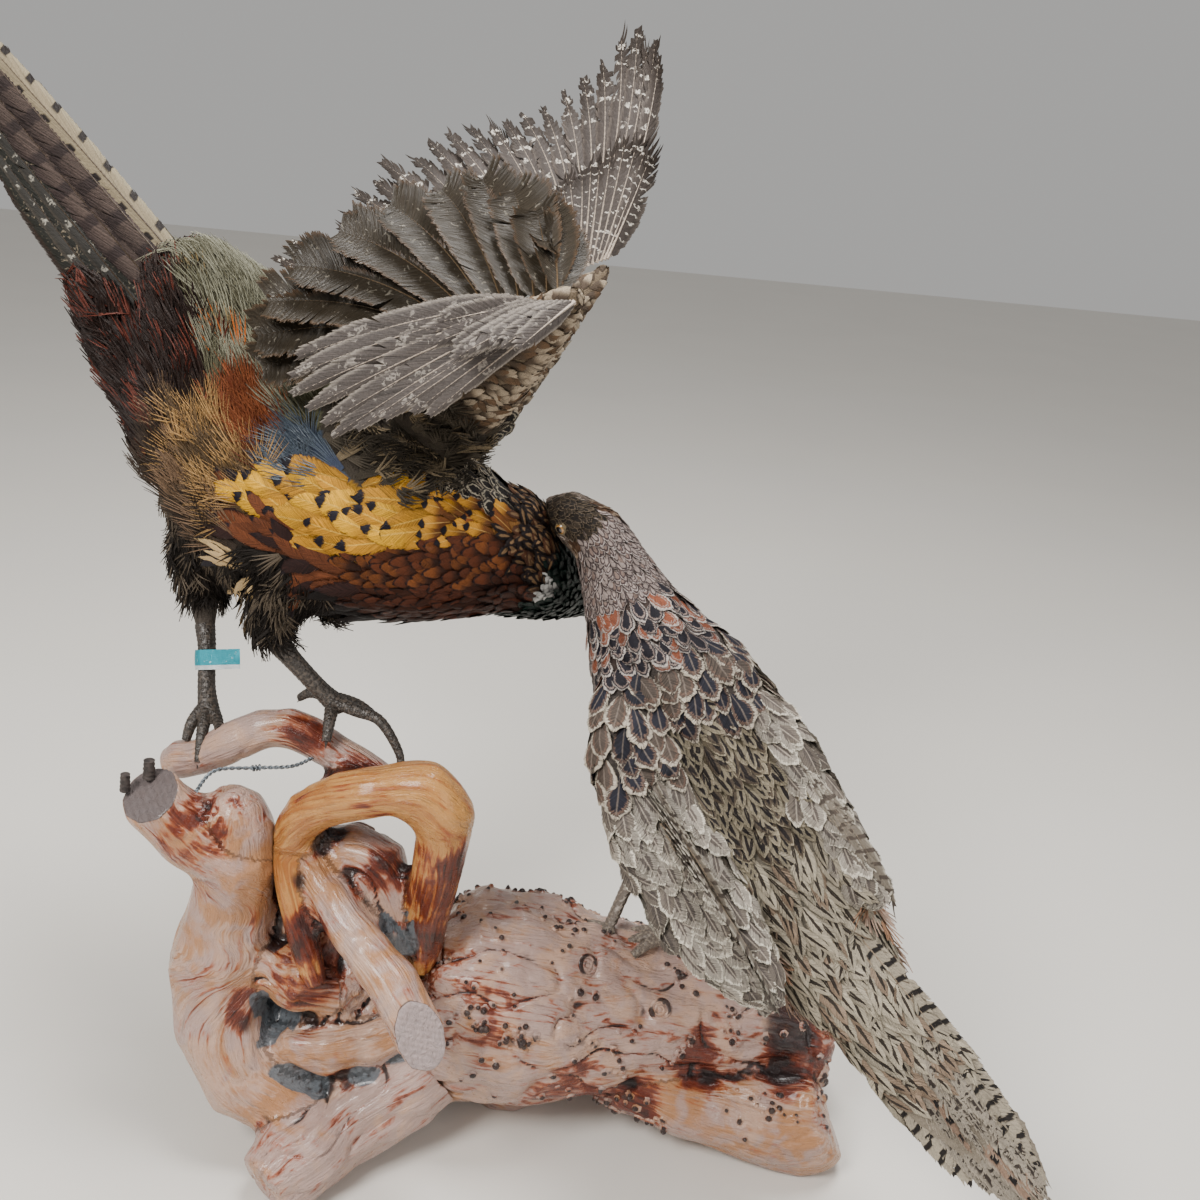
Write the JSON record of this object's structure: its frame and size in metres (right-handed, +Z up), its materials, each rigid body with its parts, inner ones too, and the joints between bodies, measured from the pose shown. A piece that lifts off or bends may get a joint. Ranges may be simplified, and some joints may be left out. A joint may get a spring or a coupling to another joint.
{
  "type": "taxidermy pheasant",
  "caption": "Mounted cock ring-necked pheasant with raised wings and long tail on a varnished root base, with a hen fixed to the same base.",
  "frame": {"origin": "on the flat under the base's log, near its middle, at the level that the base stands on", "axes": "+Z up, +X towards the hen's tail and the cock's breast, -Y towards the side the mount is seen from"},
  "size_m": [0.9696, 0.475, 0.8761],
  "materials": {
    "wood": "varnished root wood, glossy",
    "wire": "dull galvanised wire",
    "horn": "satin horn",
    "eye": "glossy glass eye",
    "neck_plumage": "dark glossy feathers",
    "cock_plumage": "gold, copper and rust feathers",
    "wing_coverts": "barred buff and brown feathers",
    "flight_feathers": "grey-brown barred feathers",
    "leg_scale": "dry scaly skin",
    "ribbon": "shiny ribbon",
    "hen_plumage": "scaled buff, grey and black feathers"
  },
  "bodies": {
    "root": {"base_arch": "wood", "base_burl": "wood", "base_log": "wood", "base_wire": "wire", "cock_bill": "horn", "cock_eye_left": "eye", "cock_eye_right": "eye", "cock_head": "neck_plumage", "cock_neck": "neck_plumage", "cock_trunk": "cock_plumage", "cock_undertail": "neck_plumage", "cock_tail": "flight_feathers", "cock_left_wing_arm": "wing_coverts", "cock_left_wing_primaries": "flight_feathers", "cock_left_wing_secondaries": "flight_feathers", "cock_right_wing_arm": "wing_coverts", "cock_right_wing_primaries": "flight_feathers", "cock_right_wing_secondaries": "flight_feathers", "cock_leg_left": "leg_scale", "cock_leg_right": "leg_scale", "cock_leg_tag": "ribbon", "hen": "hen_plumage"}
  },
  "joints": []
}
